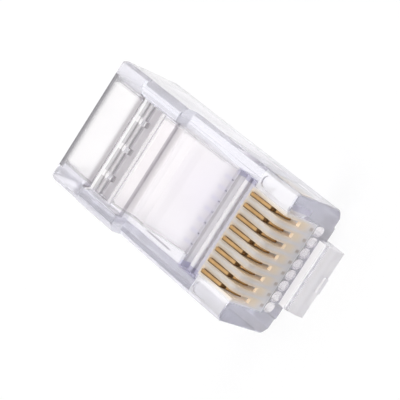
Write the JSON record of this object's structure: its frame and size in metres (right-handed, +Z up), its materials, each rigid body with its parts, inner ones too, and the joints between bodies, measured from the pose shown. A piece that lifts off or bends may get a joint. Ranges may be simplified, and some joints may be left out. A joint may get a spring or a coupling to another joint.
{
  "type": "modular plug",
  "caption": "Clear modular data plug with blade contacts in a row, a locking latch, wire channels and cable clamps, as supplied before it is crimped on a cable.",
  "frame": {"origin": "on the table, under the middle of the plug as it lies on its latch", "axes": "+X towards the nose, +Y across the contact row, +Z up; the contact side faces up and the nose dips by 10.86 degrees"},
  "size_m": [0.0226, 0.0116, 0.0127],
  "materials": {
    "clear_plastic": "clear polycarbonate",
    "gold_contact": "gold plated"
  },
  "bodies": {
    "housing": {"housing": "clear_plastic"},
    "latch": {"latch_lever": "clear_plastic"},
    "cable_clamp": {"cable_clamp": "clear_plastic"},
    "conductor_clamp": {"conductor_clamp": "clear_plastic"},
    "contact_1": {"contact_1": "gold_contact"},
    "contact_2": {"contact_2": "gold_contact"},
    "contact_3": {"contact_3": "gold_contact"},
    "contact_4": {"contact_4": "gold_contact"},
    "contact_5": {"contact_5": "gold_contact"},
    "contact_6": {"contact_6": "gold_contact"},
    "contact_7": {"contact_7": "gold_contact"},
    "contact_8": {"contact_8": "gold_contact"}
  },
  "joints": [
    {"name": "latch_flex", "type": "hinge", "parent": "housing", "child": "latch", "pos_m": [0.00886, 0, 0.00071], "axis": [0, 1, 0], "range_deg": [0, 9.5], "stiffness_Nm_per_rad": 0.1},
    {"name": "cable_clamp_fold", "type": "hinge", "parent": "housing", "child": "cable_clamp", "pos_m": [-0.00344, 0, 0.01117], "axis": [0, -1, 0], "range_deg": [0, 25]},
    {"name": "conductor_clamp_press", "type": "slide", "parent": "housing", "child": "conductor_clamp", "axis": [-0.1885, 0, -0.9821], "range_m": [0, 0.001]},
    {"name": "contact_1_press", "type": "slide", "parent": "housing", "child": "contact_1", "axis": [-0.1885, 0, -0.9821], "range_m": [0, 0.00093]},
    {"name": "contact_2_press", "type": "slide", "parent": "housing", "child": "contact_2", "axis": [-0.1885, 0, -0.9821], "range_m": [0, 0.00093]},
    {"name": "contact_3_press", "type": "slide", "parent": "housing", "child": "contact_3", "axis": [-0.1885, 0, -0.9821], "range_m": [0, 0.00093]},
    {"name": "contact_4_press", "type": "slide", "parent": "housing", "child": "contact_4", "axis": [-0.1885, 0, -0.9821], "range_m": [0, 0.00093]},
    {"name": "contact_5_press", "type": "slide", "parent": "housing", "child": "contact_5", "axis": [-0.1885, 0, -0.9821], "range_m": [0, 0.00093]},
    {"name": "contact_6_press", "type": "slide", "parent": "housing", "child": "contact_6", "axis": [-0.1885, 0, -0.9821], "range_m": [0, 0.00093]},
    {"name": "contact_7_press", "type": "slide", "parent": "housing", "child": "contact_7", "axis": [-0.1885, 0, -0.9821], "range_m": [0, 0.00093]},
    {"name": "contact_8_press", "type": "slide", "parent": "housing", "child": "contact_8", "axis": [-0.1885, 0, -0.9821], "range_m": [0, 0.00093]}
  ]
}
